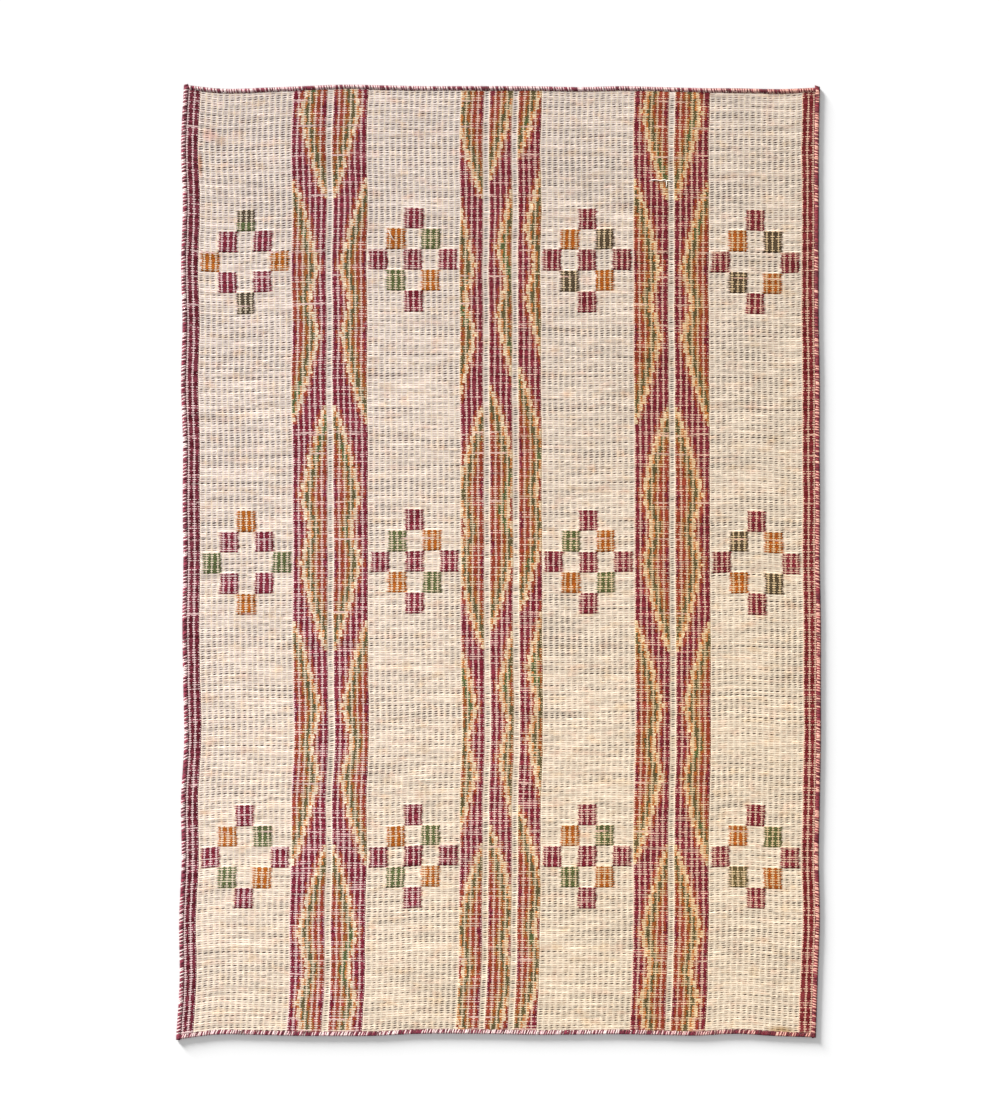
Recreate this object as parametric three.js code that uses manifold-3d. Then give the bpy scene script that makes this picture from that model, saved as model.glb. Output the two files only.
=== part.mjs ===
// A flat-woven jute rug that lies face up: one ribbed cloth, and a whipped edging on each of its four sides.
// Millimetres. X runs across the rug, Y along it from the foot to the head, and Z up from the floor.
// The origin is under the middle of the rug, on the floor.

import * as THREE from 'three'
import { mergeVertices } from 'three/addons/utils/BufferGeometryUtils.js'
import Module from 'manifold-3d'

const wasm = await Module()
wasm.setup()

// The straight rectangle that the rug was woven to
const RUG_WIDTH = 1400
const RUG_LENGTH = 2081

// The cloth: thick weft rows tied down along lines that run the length of the rug, so it lies in ribs
const CLOTH_THICKNESS = 5.5
const RIB_COUNT = 110
const RIB_RELIEF = 1
// Ribs drawn past the straight rectangle on each side before the outline is cut
const SPARE_RIBS = 2

// The edging: yarn whipped round the cut edge, seen as a cord-like border
const EDGING_WIDTH = 10
const EDGING_THICKNESS = 6
const EDGING_ARC_SEGMENTS = 4
const SEAM_GAP = 0.3

// How far each side stands out from the straight rectangle, at even stations.
// Left and right run from the foot to the head, foot and head run from left to right.
const STANDS_OUT = {
  left: [13.3, 5.4, 6.5, 1, 2.3, -4.5, -2.3, -0.5, -2.7, -1.2, -1.9, 2.2, -0.8, 2.1, -1.6, 2.1, -4.1],
  right: [-8.9, -4.5, -0.1, -2.3, -0.1, 2.1, 2.1, 2.1, -0.1, 0.3, -0.5, -0.1, -2.3, -2.3, -2.3, -2.3, -0.1],
  foot: [10, -1, -0.5, 1.6, 2.1, 1.6, -2.7, -3.2, -2.3, -0.5, -1, -1.9, -0.5, 1.2, -2.7, 2.1, 5],
  head: [4.7, -4.1, -1.9, 1.6, 4.9, 3.4, 1.6, 1.6, 1.6, 1.2, -0.5, 1.6, -0.5, -2.7, -3.2, -4.9, -1.4],
}
const STEPS_ALONG = STANDS_OUT.left.length - 1
const STEPS_ACROSS = STANDS_OUT.foot.length - 1

// The middle of the uneven outline's own box, seen from the rectangle's centre
const MIDDLE_X = (Math.max(...STANDS_OUT.right) - Math.max(...STANDS_OUT.left)) / 2
const MIDDLE_Y = (Math.max(...STANDS_OUT.head) - Math.max(...STANDS_OUT.foot)) / 2

const COLOURS = { cloth: 0xe3d6c1, edging: 0x86243f }

/** The value of a side at a place from 0 to 1 along it, straight between its stations. */
function standsOut(side, place) {
  const stations = STANDS_OUT[side]
  const station = Math.min(Math.floor(place * (stations.length - 1)), stations.length - 2)
  const past = place * (stations.length - 1) - station
  return THREE.MathUtils.lerp(stations[station], stations[station + 1], past)
}

/** The point of the uneven rug that lies at shares u across, v along and a height above the floor. */
function onRug(u, v, height) {
  const left = -RUG_WIDTH / 2 - standsOut('left', v)
  const right = RUG_WIDTH / 2 + standsOut('right', v)
  const foot = -RUG_LENGTH / 2 - standsOut('foot', u)
  const head = RUG_LENGTH / 2 + standsOut('head', u)
  return new THREE.Vector3(
    THREE.MathUtils.lerp(left, right, u) - MIDDLE_X,
    THREE.MathUtils.lerp(foot, head, v) - MIDDLE_Y,
    height,
  )
}

/** Shares from 0 to 1 at even steps, with the first and the last drawn in by an inset. */
function stationShares(steps, inset) {
  const shares = Array.from({ length: steps + 1 }, (_, step) => step / steps)
  return shares.map((share) => THREE.MathUtils.clamp(share, inset, 1 - inset))
}

/** The rug's outline, drawn in by an inset all round, anticlockwise and with a point at every station. */
function outline(inset) {
  const insetAcross = inset / RUG_WIDTH
  const insetAlong = inset / RUG_LENGTH
  const across = stationShares(STEPS_ACROSS, insetAcross)
  const along = stationShares(STEPS_ALONG, insetAlong)
  return [
    ...across.slice(1).map((u) => onRug(u, insetAlong, 0)),
    ...along.slice(1).map((v) => onRug(1 - insetAcross, v, 0)),
    ...across.slice(0, -1).reverse().map((u) => onRug(u, 1 - insetAlong, 0)),
    ...along.slice(0, -1).reverse().map((v) => onRug(insetAcross, v, 0)),
  ]
}

/** A closed geometry as a solid that can be cut. */
function toSolid(geometry) {
  const bare = geometry.clone()
  bare.deleteAttribute('normal')
  bare.deleteAttribute('uv')
  const merged = mergeVertices(bare)
  const vertProperties = new Float32Array(merged.getAttribute('position').array)
  const triVerts = new Uint32Array(merged.index.array)
  return new wasm.Manifold(new wasm.Mesh({ numProp: 3, vertProperties, triVerts }))
}

/** A solid as a geometry that can be shown. */
function toGeometry(solid) {
  const { vertProperties, triVerts } = solid.getMesh()
  const geometry = new THREE.BufferGeometry()
  geometry.setAttribute('position', new THREE.BufferAttribute(vertProperties, 3))
  geometry.setIndex(new THREE.BufferAttribute(triVerts, 1))
  const faceted = geometry.toNonIndexed()
  faceted.computeVertexNormals()
  return faceted
}

/** A slab larger than the rug: flat below, with a ridge between every two tie lines above. */
function ribbedSlab() {
  const rib = RUG_WIDTH / RIB_COUNT
  const tied = CLOTH_THICKNESS - RIB_RELIEF
  const firstLine = -(RIB_COUNT / 2 + SPARE_RIBS)
  const lastLine = RIB_COUNT / 2 + SPARE_RIBS
  const profile = new THREE.Shape()
  profile.moveTo(firstLine * rib, 0)
  profile.lineTo(lastLine * rib, 0)
  for (let line = lastLine; line > firstLine; line -= 1) {
    profile.lineTo(line * rib, tied)
    profile.lineTo((line - 0.5) * rib, CLOTH_THICKNESS)
  }
  profile.lineTo(firstLine * rib, tied)

  const slabLength = RUG_LENGTH + 2 * SPARE_RIBS * rib
  const slab = new THREE.ExtrudeGeometry(profile, { depth: slabLength, bevelEnabled: false })
  return slab.rotateX(Math.PI / 2).translate(-MIDDLE_X, slabLength / 2, 0)
}

/** The cloth: the ribbed slab cut to the rug's outline, with room left for the edging. */
function wovenField() {
  const cutOut = new THREE.Shape(outline(EDGING_WIDTH + SEAM_GAP))
  const cutterHeight = 4 * CLOTH_THICKNESS
  const cutter = new THREE.ExtrudeGeometry(cutOut, { depth: cutterHeight, bevelEnabled: false })
  cutter.translate(0, 0, -cutterHeight / 2)
  return toGeometry(toSolid(ribbedSlab()).intersect(toSolid(cutter)))
}

/** The edging's section, with x counted inwards from the rug's edge: flat below, above and at the cloth. */
function edgingProfile() {
  const radius = EDGING_THICKNESS / 2
  const profile = new THREE.Shape()
  profile.moveTo(EDGING_WIDTH, 0)
  profile.lineTo(radius, 0)
  profile.absarc(radius, radius, radius, -Math.PI / 2, (-3 * Math.PI) / 2, true)
  profile.lineTo(EDGING_WIDTH, EDGING_THICKNESS)
  return profile
}

/**
 * Draws the edging's section out along one side, and lays each of its points on the rug.
 * layOut turns the distance in from the edge, and the share drawn out, into shares across and along.
 */
function drawnOut(steps, inset, layOut) {
  const shares = stationShares(steps, inset)
  const geometry = new THREE.ExtrudeGeometry(edgingProfile(), {
    depth: steps,
    steps,
    bevelEnabled: false,
    curveSegments: EDGING_ARC_SEGMENTS,
  })
  const points = geometry.getAttribute('position')
  for (let i = 0; i < points.count; i += 1) {
    const { u, v } = layOut(points.getX(i), shares[Math.round(points.getZ(i))])
    const { x, y, z } = onRug(u, v, points.getY(i))
    points.setXYZ(i, x, y, z)
  }
  geometry.computeVertexNormals()
  return geometry
}

/** The edging of a long side, which runs the whole length of the rug. */
function sideEdging(layOut) {
  return drawnOut(STEPS_ALONG, 0, (inwards, share) => layOut(inwards / RUG_WIDTH, share))
}

/** The edging of a short side, which fits between the two long ones. */
function endEdging(layOut) {
  const inset = (EDGING_WIDTH + SEAM_GAP) / RUG_WIDTH
  return drawnOut(STEPS_ACROSS, inset, (inwards, share) => layOut(inwards / RUG_LENGTH, share))
}

// Each side is drawn out in the direction that keeps its faces pointing outwards
const edgings = {
  edging_left: sideEdging((inwards, share) => ({ u: inwards, v: 1 - share })),
  edging_right: sideEdging((inwards, share) => ({ u: 1 - inwards, v: share })),
  edging_head: endEdging((inwards, share) => ({ u: 1 - share, v: 1 - inwards })),
  edging_foot: endEdging((inwards, share) => ({ u: share, v: inwards })),
}

const cloth = new THREE.MeshStandardMaterial({ color: COLOURS.cloth, roughness: 0.9, metalness: 0 })
const yarn = new THREE.MeshStandardMaterial({ color: COLOURS.edging, roughness: 0.85, metalness: 0 })

const rug = new THREE.Group()

const field = new THREE.Mesh(wovenField(), cloth)
field.name = 'woven_field'
rug.add(field)

for (const [name, geometry] of Object.entries(edgings)) {
  const edging = new THREE.Mesh(geometry, yarn)
  edging.name = name
  rug.add(edging)
}

export default rug
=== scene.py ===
# %% [markdown]
# # A flat-woven jute rug
# The rug is one cloth of thick jute rows, tied down along lines that run its whole length. Dyed
# rows make two side stripes, three bands of nested lozenges and twelve block rosettes, and yarn is
# whipped round the cut edge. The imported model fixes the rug's outline and thickness, so it is
# loaded first, and everything below is laid out from it.

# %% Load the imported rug
import math

import bmesh
import bpy
import numpy as np
from mathutils import Matrix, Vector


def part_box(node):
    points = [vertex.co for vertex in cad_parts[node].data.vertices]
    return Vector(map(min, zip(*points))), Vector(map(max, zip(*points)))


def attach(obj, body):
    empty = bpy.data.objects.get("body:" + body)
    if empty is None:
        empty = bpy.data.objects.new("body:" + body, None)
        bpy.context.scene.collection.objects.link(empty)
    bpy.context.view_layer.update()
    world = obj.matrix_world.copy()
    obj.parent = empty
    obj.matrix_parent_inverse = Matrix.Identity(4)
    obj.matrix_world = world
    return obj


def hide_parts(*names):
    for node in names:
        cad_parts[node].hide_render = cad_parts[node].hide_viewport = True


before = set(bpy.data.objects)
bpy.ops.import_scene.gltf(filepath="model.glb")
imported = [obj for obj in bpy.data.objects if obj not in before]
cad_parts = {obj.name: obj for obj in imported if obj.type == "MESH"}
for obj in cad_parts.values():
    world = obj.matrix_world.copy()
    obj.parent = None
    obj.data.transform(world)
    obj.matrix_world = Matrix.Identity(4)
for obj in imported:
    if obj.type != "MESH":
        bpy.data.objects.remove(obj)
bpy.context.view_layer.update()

# %% [markdown]
# ## The uneven outline
# A hand-woven rug is never a true rectangle: its sides wander by a few millimetres. The edging of
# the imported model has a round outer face, and the points at half its height are the rug's outline,
# so they are read from there and never typed in twice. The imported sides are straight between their
# stations. A smooth curve through the same stations looks like cloth.

# %% Read the four sides
EDGING_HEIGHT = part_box("edging_left")[1].z
HEIGHT_TOLERANCE = 1e-4


def read_all(items, value, width=1, kind=float):
    """One value of each point, face or corner of a mesh, as an array of that width."""
    flat = np.empty(len(items) * width, dtype=kind)
    items.foreach_get(value, flat)
    return flat.reshape(-1, width).squeeze()


def outer_line(node, axis):
    """The points at half height on an edging's outer face, in order along axis 0 or 1."""
    points = read_all(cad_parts[node].data.vertices, "co", 3)
    half_way_up = np.abs(points[:, 2] - EDGING_HEIGHT / 2) < HEIGHT_TOLERANCE
    line = np.unique(points[half_way_up].round(5), axis=0)
    return line[line[:, axis].argsort()]


left_side = outer_line("edging_left", axis=1)
right_side = outer_line("edging_right", axis=1)
foot_side = outer_line("edging_foot", axis=0)
head_side = outer_line("edging_head", axis=0)
print("stations on each side:", [len(side) for side in (left_side, right_side, foot_side, head_side)])

# %% [markdown]
# The short edgings end a little inside the corners, so the corners come from the long ones.

# %% Lay a share across and along on the rug
LEFT_X = left_side[:, 0]
RIGHT_X = right_side[:, 0]
FOOT_Y = np.array([left_side[0, 1], *foot_side[1:-1, 1], right_side[0, 1]])
HEAD_Y = np.array([left_side[-1, 1], *head_side[1:-1, 1], right_side[-1, 1]])


def through(stations, share):
    """A smooth curve through even stations, read at shares from 0 to 1."""
    last = len(stations) - 1
    before = 2 * stations[0] - stations[1]
    after = 2 * stations[-1] - stations[-2]
    held = np.array([before, *stations, after])
    place = np.clip(share, 0, 1) * last
    station = np.minimum(place.astype(int), last - 1)
    t = place - station
    a, b, c, d = (held[station + step] for step in range(4))
    return b + t / 2 * (c - a + t * (2 * a - 5 * b + 4 * c - d + t * (3 * (b - c) + d - a)))


def on_rug(across, along):
    """The x and y of a point at shares across, from the left, and along, from the foot."""
    left, right = through(LEFT_X, along), through(RIGHT_X, along)
    foot, head = through(FOOT_Y, across), through(HEAD_Y, across)
    return left + (right - left) * across, foot + (head - foot) * along


RUG_WIDTH = float(np.mean(RIGHT_X - LEFT_X))
RUG_LENGTH = float(np.mean(HEAD_Y - FOOT_Y))
print(f"mean width {RUG_WIDTH:.3f} m, mean length {RUG_LENGTH:.3f} m")

# %% [markdown]
# ## Counting the weave
# A weaver plans a rug on squared paper. Here a column is the cloth between two tie lines, counted
# from the left, and a row is one thick weft, counted from the head. All the shapes and colours
# below use those counts. Cloth is soft, so the count is drawn in a little at the rim, under the
# whipping.

# %% Columns, rows and strips
COLUMNS = 110
ROWS = 412
STRIPS = {
    "side_stripe_left": 3,
    "field_1": 16,
    "band_left": 13,
    "field_2": 16,
    "band_middle": 14,
    "field_3": 16,
    "band_right": 13,
    "field_4": 16,
    "side_stripe_right": 3,
}
assert sum(STRIPS.values()) == COLUMNS

first_columns = dict(zip(STRIPS, np.cumsum([0, *STRIPS.values()])))
COLUMN_WIDTH = RUG_WIDTH / COLUMNS
ROW_LENGTH = RUG_LENGTH / ROWS
print(f"a column is {COLUMN_WIDTH * 1000:.1f} mm wide, a row {ROW_LENGTH * 1000:.2f} mm long")

# %% [markdown]
# ## The pattern chart
# Every cell of the weave has two halves, because a dyed stretch of weft may start or end in the
# middle of a column. The chart has a number for each half cell: the dye that it shows. A dye's
# second value is its tick: how far a pale tie reaches into each of its rows, in columns.

# %% The dyes
DYES = {
    "cream": ((238, 229, 214), 0.10),
    "maroon": ((121, 22, 46), 0.20),
    "rust": ((156, 66, 38), 0.22),
    "ochre": ((184, 102, 24), 0.21),
    "tan": ((164, 96, 46), 0.24),
    "toothed": ((200, 126, 66), 0.32),
    "straw": ((252, 237, 214), 0.20),
    "green": ((94, 108, 66), 0.22),
    "moss": ((104, 96, 64), 0.22),
    "grey": ((86, 76, 60), 0.20),
    "wine": ((94, 8, 30), 0.18),
    "brick": ((116, 20, 30), 0.18),
}
DYE_NUMBER = {name: number for number, name in enumerate(DYES)}
chart = np.full((ROWS, 2 * COLUMNS), DYE_NUMBER["cream"])


def colour_strip(name, dyes):
    """Puts an array of dye numbers, one for each row and half column, on a strip of the chart."""
    first = 2 * first_columns[name]
    chart[:, first : first + 2 * STRIPS[name]] = dyes


colour_strip("side_stripe_left", DYE_NUMBER["wine"])
colour_strip("side_stripe_right", DYE_NUMBER["brick"])
print("half cells in the chart:", chart.size)

# %% [markdown]
# ## Nested lozenges
# Each band is a ladder of tall lozenges that sit on a cream middle column, with half lozenges
# between them that come in from the band's outer edge. Only one outline is needed: how many
# columns a lozenge reaches, by rows from its tip. How deep a half cell lies inside the nearest
# outline then gives its dye, and that makes the colours follow each other inwards.

# %% The lozenge outline
LOZENGE_LENGTH = 106
OUTLINE_ROWS = [0, 5.5, 13, 21.5, 34, 38, 53]
OUTLINE_REACH = [0.2, 1.2, 2.2, 3.2, 4.4, 4.8, 3.2]
MIDDLE_TIPS = [-57, 139, 329.5]
OUTER_TIPS = [40.5, 232]
BAND_REACH = 6
OUTSIDE = -9.0

row_middles = np.arange(ROWS) + 0.5


def reach_of(tips, shift):
    """How far the lozenges that start at these tips reach at each row, in columns."""
    reach = np.full(ROWS, OUTSIDE)
    for tip in tips:
        from_tip = row_middles - tip - shift
        half = LOZENGE_LENGTH / 2
        from_nearer_tip = half - np.abs(from_tip - half)
        inside = from_nearer_tip >= 0
        outline = np.interp(from_nearer_tip, OUTLINE_ROWS, OUTLINE_REACH)
        reach = np.where(inside, np.maximum(reach, outline), reach)
    return reach


# %% [markdown]
# The depths at which one dye gives way to the next are in columns. A straw line runs round each
# lozenge. Inside it comes an orange line with long ticks, like teeth, and then one of moss, with a
# few stretches of green.

# %% From depth to dye
LAYERS = [
    # depth at which the dye ends, dye
    (-0.75, "maroon"),
    (-0.05, "rust"),
    (0.4, "straw"),
    (0.85, "toothed"),
    (1.65, "moss"),
    (2.4, "tan"),
    (3.9, "rust"),
    (math.inf, "maroon"),
]
DEPTH_SLIP = 0.1
HANK_ROWS = 16
GREEN_STRETCH = 0.7

slips = np.random.default_rng(11)


def lozenge_dyes(halves_from_middle, shift=0):
    """Dye numbers for half columns at these distances from a cream middle, over all rows."""
    away = np.array(halves_from_middle)[None, :]
    middle_depth = reach_of(MIDDLE_TIPS, shift)[:, None] - away
    outer_depth = reach_of(OUTER_TIPS, shift)[:, None] - (BAND_REACH - away)
    depth = np.maximum(middle_depth, outer_depth)
    depth = depth + slips.uniform(-DEPTH_SLIP, DEPTH_SLIP, depth.shape)
    dyes = np.zeros(depth.shape, dtype=int)
    shallower = -math.inf
    for deepest, dye in LAYERS:
        dyes = np.where((depth >= shallower) & (depth < deepest), DYE_NUMBER[dye], dyes)
        shallower = deepest
    hank_starts = np.arange(0, ROWS + HANK_ROWS, HANK_ROWS)
    hanks = np.interp(np.arange(ROWS), hank_starts, slips.uniform(-1, 1, len(hank_starts)))
    is_green = (dyes == DYE_NUMBER["moss"]) & (hanks[:, None] > GREEN_STRETCH)
    return np.where(is_green, DYE_NUMBER["green"], dyes)


def half_distances(columns):
    """Distances of half columns from the side of the cream middle, nearest first."""
    return [0.25 + 0.5 * half for half in range(2 * columns)]


cream_middle = np.full((ROWS, 2), DYE_NUMBER["cream"])
wide_wing = half_distances(6)
for name in ("band_left", "band_right"):
    wide_band = [lozenge_dyes(wide_wing[::-1]), cream_middle, lozenge_dyes(wide_wing)]
    colour_strip(name, np.hstack(wide_band))

# %% [markdown]
# The middle band has two cream columns and three narrower wings, and each wing starts its lozenges
# a few rows earlier than the one to its left.

# %% The middle band
WING_SHIFTS = (0, -8.5, -17)

narrow_wing = half_distances(4)
middle_band = [
    lozenge_dyes(narrow_wing[::-1], WING_SHIFTS[0]),
    cream_middle,
    lozenge_dyes(narrow_wing, WING_SHIFTS[1]),
    cream_middle,
    lozenge_dyes(narrow_wing, WING_SHIFTS[2]),
]
colour_strip("band_middle", np.hstack(middle_band))
print("dyed half cells:", int((chart != DYE_NUMBER["cream"]).sum()))

# %% [markdown]
# ## Block rosettes
# A rosette is nine blocks set in a diamond, three columns wide and nine rows long each. A letter
# per block, in reading order, is all that a weaver writes down: the top, two upper corners, the
# left, middle and right, two lower corners and the foot. In the first rosette the grey hank ended
# five rows into the top block, and the weaver went on in green.

# %% Chart the twelve rosettes
BLOCK_ROWS = 9
BLOCK_HALVES = 6
ROSETTE_TOPS = (53, 184, 312)
FIRST_HALF = 1
HANK_END = 5
DIAMOND = [(0, 2), (1, 1), (1, 3), (2, 0), (2, 2), (2, 4), (3, 1), (3, 3), (4, 2)]
LETTERS = {"m": "maroon", "o": "ochre", "g": "green", "d": "moss", "y": "grey"}
ROSETTES = [
    ["ymmo.ommy", "mogmmmgom", "moymmmyom", "moym.myom"],
    ["ommg.gmmo", "mgommmogm", "mgommmogm", "myom.moym"],
    ["mogm.mgom", "mogmmmgom", "mogmmmgom", "mogm.mdom"],
]


def colour_block(row, half, rows, dye):
    """Colours a block of the chart, from this row and half column on."""
    chart[row : row + rows, half : half + BLOCK_HALVES] = DYE_NUMBER[dye]


for top, words in zip(ROSETTE_TOPS, ROSETTES):
    for number, word in enumerate(words, start=1):
        first_half = 2 * first_columns[f"field_{number}"] + FIRST_HALF
        for (down, across), letter in zip(DIAMOND, word):
            if letter == ".":
                continue
            row = top + down * BLOCK_ROWS
            half = first_half + across * BLOCK_HALVES
            colour_block(row, half, BLOCK_ROWS, LETTERS[letter])

top_block = 2 * first_columns["field_1"] + FIRST_HALF + DIAMOND[0][1] * BLOCK_HALVES
colour_block(ROSETTE_TOPS[0] + HANK_END, top_block, BLOCK_ROWS - HANK_END, "green")
print("rosettes:", sum(len(words) for words in ROSETTES))

# %% [markdown]
# ## Hand-made unevenness
# Handspun jute is thick here and thin there, and no row lies quite straight. Soft noise on the
# count of columns and rows gives that, and because it is read by place, two strips that meet on a
# tie line get the same value there. Every draw has its own seed, so the rug is the same each time.

# %% Soft noise on the weave
def drift(seed, columns_apart, rows_apart, column, row):
    """Soft noise from -1 to 1, with hills that stand so many columns and rows apart."""
    size = (int(COLUMNS / columns_apart) + 3, int(ROWS / rows_apart) + 3)
    hills = np.random.default_rng(seed).uniform(-1, 1, size)
    across, along = column / columns_apart, row / rows_apart
    i, j = across.astype(int), along.astype(int)
    s, t = across - i, along - j
    s, t = s * s * (3 - 2 * s), t * t * (3 - 2 * t)
    near = hills[i, j] * (1 - s) + hills[i + 1, j] * s
    far = hills[i, j + 1] * (1 - s) + hills[i + 1, j + 1] * s
    return near * (1 - t) + far * t


# %% [markdown]
# ## The relief of the cloth
# A row is a rounded hump, drawn down a little where a tie line crosses it, and it dips to a valley
# before the next row. The tie yarn fills the valleys that it crosses, and where the wefts are dyed
# they are beaten up so firmly that the valleys nearly close. In the middle of a column nothing
# holds two rows together, so a small gap opens there. Heights are in metres above the floor. Near
# the rim the whipping squeezes the cloth, and its underside lifts to leave room for the yarn that
# passes below.

# %% Heights of the face and the underside
CREST = 0.0053
TIE_DIP = 0.0002
VALLEY_DIP = 0.0016
GAP_DIP = 0.0014
SLUB = 0.00045
SLUB_HILLS = (21, 0.9, 0.9)  # seed, columns apart, rows apart
SWELL = 0.0003
SWELL_HILLS = (22, 6, 5)
RIM_FACE = 0.0042
RIM_RELIEF = 0.15
RIM_UNDERSIDE = 0.0013
RIM_FLAT = 0.007
RIM_SLOPE = 0.005
TIE_REACH = 0.4
TIE_FILL = 0.45
DYED_VALLEY = 0.3


def soft_step(low, high, value):
    share = np.clip((value - low) / (high - low), 0, 1)
    return share * share * (3 - 2 * share)


def distance_from_rim(column, row):
    across = np.minimum(column, COLUMNS - column) * COLUMN_WIDTH
    along = np.minimum(row, ROWS - row) * ROW_LENGTH
    return np.minimum(across, along)


def cell_dye(column, row):
    """The number of the dye in the half cell just right of a point and below it."""
    half = np.clip((2 * column).astype(int), 0, 2 * COLUMNS - 1)
    return chart[np.clip(row.astype(int), 0, ROWS - 1), half]


def cloth_height(column, row, level, gap):
    """The height of a point of the cloth. Level is 1 on the face and 0 on the underside."""
    to_tie = np.abs(column - np.round(column))
    tied = np.clip(1 - to_tie / TIE_REACH, 0, 1)
    to_crest = np.abs(row - np.floor(row) - 0.5)
    valley = 2 * to_crest * (1 - TIE_FILL * tied)
    valley = np.where(cell_dye(column, row) == DYE_NUMBER["cream"], valley, valley * DYED_VALLEY)
    face = CREST - TIE_DIP * tied**2 - VALLEY_DIP * valley - GAP_DIP * gap
    face = face + SLUB * drift(*SLUB_HILLS, column, row) * (1 - tied)
    face = face + SWELL * drift(*SWELL_HILLS, column, row)
    free = soft_step(RIM_FLAT, RIM_FLAT + RIM_SLOPE, distance_from_rim(column, row))
    face = RIM_FACE + (face - RIM_FACE) * (RIM_RELIEF + (1 - RIM_RELIEF) * free)
    underside = RIM_UNDERSIDE * (1 - free)
    return underside + (face - underside) * level


# %% [markdown]
# The gaps differ from cell to cell. Whole rows gape where the weft was beaten up less firmly, most
# near the head. The cream gapes more than the dyed bands, and the cream middles of the bands gape
# most.

# %% How far each gap opens
GAP_LEAST = 0.28
GAP_SPREAD = 0.43
GAP_ROWS = 0.42
ROW_HILLS = (35, 9, 1)
GAP_PATCHES = 0.22
PATCH_HILLS = (33, 8, 16)
SMALL_PATCHES = 0.6
SMALL_PATCH_HILLS = (34, 2.5, 3)
GAP_AT_HEAD = 0.15
HEAD_ROWS = 110
LOOSE_ROW_SHARE = 0.12
LOOSE_ROW = 0.5
LOOSE_FROM, LOOSE_TO = -0.2, 0.5
DYED_GAP = 0.5
MIDDLE_GAP = 1.25
MOST_GAP = 1.4

middle_columns = [
    first_columns["band_left"] + 6,
    first_columns["band_middle"] + 4,
    first_columns["band_middle"] + 9,
    first_columns["band_right"] + 6,
]
luck = np.random.default_rng(31).uniform(0, 1, (COLUMNS, ROWS + 1))
loose_rows = np.random.default_rng(32).uniform(0, 1, ROWS + 1) < LOOSE_ROW_SHARE


def gap_at(column, row):
    """How far the gap in the middle of a column gapes at the end of a row, from 0 to MOST_GAP."""
    cell, line = column.astype(int), np.round(row).astype(int)
    cell = np.minimum(cell, COLUMNS - 1)
    centre = cell + 0.5
    patches = drift(*PATCH_HILLS, centre, row)
    patches = patches + SMALL_PATCHES * drift(*SMALL_PATCH_HILLS, centre, row)
    along_row = drift(*ROW_HILLS, centre, row)
    gap = GAP_LEAST + GAP_SPREAD * luck[cell, line] + GAP_ROWS * along_row + GAP_PATCHES * patches
    gap = gap + LOOSE_ROW * loose_rows[line] * soft_step(LOOSE_FROM, LOOSE_TO, along_row)
    gap = gap + GAP_AT_HEAD * (1 - soft_step(HEAD_ROWS / 3, HEAD_ROWS, row))
    in_middle = np.isin(cell, middle_columns)
    gap = np.where(cell_dye(column, row) == DYE_NUMBER["cream"], gap, gap * DYED_GAP)
    return np.clip(np.where(in_middle, gap * MIDDLE_GAP, gap), 0, MOST_GAP)


print("loose rows:", int(loose_rows.sum()))

# %% [markdown]
# ## From the count to the floor
# A point of the weave has a column, a row and a level. This step moves it to metres: rows and tie
# lines wander a little, the rim is drawn in under the whipping, and the smooth outline does the
# rest.

# %% Lay the cloth on the floor
COUNT_TOLERANCE = 1e-3
CLOTH_INSET = 0.0014
STRAIGHT_RIM = 0.02
ROW_WANDER, ROW_WANDER_HILLS = 0.10, (43, 1.3, 0.8)
ROW_WAVE, ROW_WAVE_HILLS = 0.35, (44, 9, 12)
TIE_WANDER, TIE_WANDER_HILLS = 0.045, (41, 1, 2.5)
TIE_WAVE, TIE_WAVE_HILLS = 0.05, (42, 1, 14)
GAP_WANDER, GAP_WANDER_HILLS = 0.14, (45, 0.9, 0.9)


def drawn_in(place, count, inset):
    """Moves the points of the outermost cells inwards, so that the cloth ends inside the edge."""
    far = count - place
    place = np.where(place < 1, inset + place * (1 - inset), place)
    return np.where(far < 1, count - inset - far * (1 - inset), place)


def lay_cloth(column, row, level, gap):
    """The x, y and z of points of the weave, in metres."""
    free = soft_step(0, STRAIGHT_RIM, distance_from_rim(column, row))
    sideways = TIE_WANDER * drift(*TIE_WANDER_HILLS, column, row)
    sideways = sideways + TIE_WAVE * drift(*TIE_WAVE_HILLS, column, row)
    in_middle = np.abs(column % 1 - 0.5) < COUNT_TOLERANCE
    sideways = sideways + GAP_WANDER * drift(*GAP_WANDER_HILLS, column, row) * in_middle
    lengthways = ROW_WANDER * drift(*ROW_WANDER_HILLS, column, row)
    lengthways = lengthways + ROW_WAVE * drift(*ROW_WAVE_HILLS, column, row)
    across = drawn_in(column + free * sideways, COLUMNS, CLOTH_INSET / COLUMN_WIDTH) / COLUMNS
    along = 1 - drawn_in(row + free * lengthways, ROWS, CLOTH_INSET / ROW_LENGTH) / ROWS
    x, y = on_rug(across, along)
    return np.column_stack([x, y, cloth_height(column, row, level, gap)])


# %% [markdown]
# ## Weaving a strip
# The cloth is one piece in the hand, but here it is made in nine strips that meet on tie lines,
# because one mesh of it would be too heavy to keep. A strip is modelled flat, in counts instead of
# metres. A grid makes its face, with four faces across a column and two along a row. Its rim is
# extruded down, the rim's spare points are dissolved, and a coarser grid closes it from below.

# %% Model a strip in counts
FACE_STEPS = (0, 0.1, 0.5, 0.9)
FACES_PER_ROW = 2


def count_grid(bm, first, columns, steps, faces_per_row, level):
    """Adds a grid whose points lie at steps of a column and even parts of a row."""
    across, along = columns * len(steps), ROWS * faces_per_row
    grid = bmesh.ops.create_grid(bm, x_segments=across, y_segments=along, size=1)
    for vert in grid["verts"]:
        column, step = divmod(round((vert.co.x + 1) * across / 2), len(steps))
        row = round((1 - vert.co.y) * along / 2) / faces_per_row
        vert.co = (first + column + steps[step], row, level)
    return grid["verts"]


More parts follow.
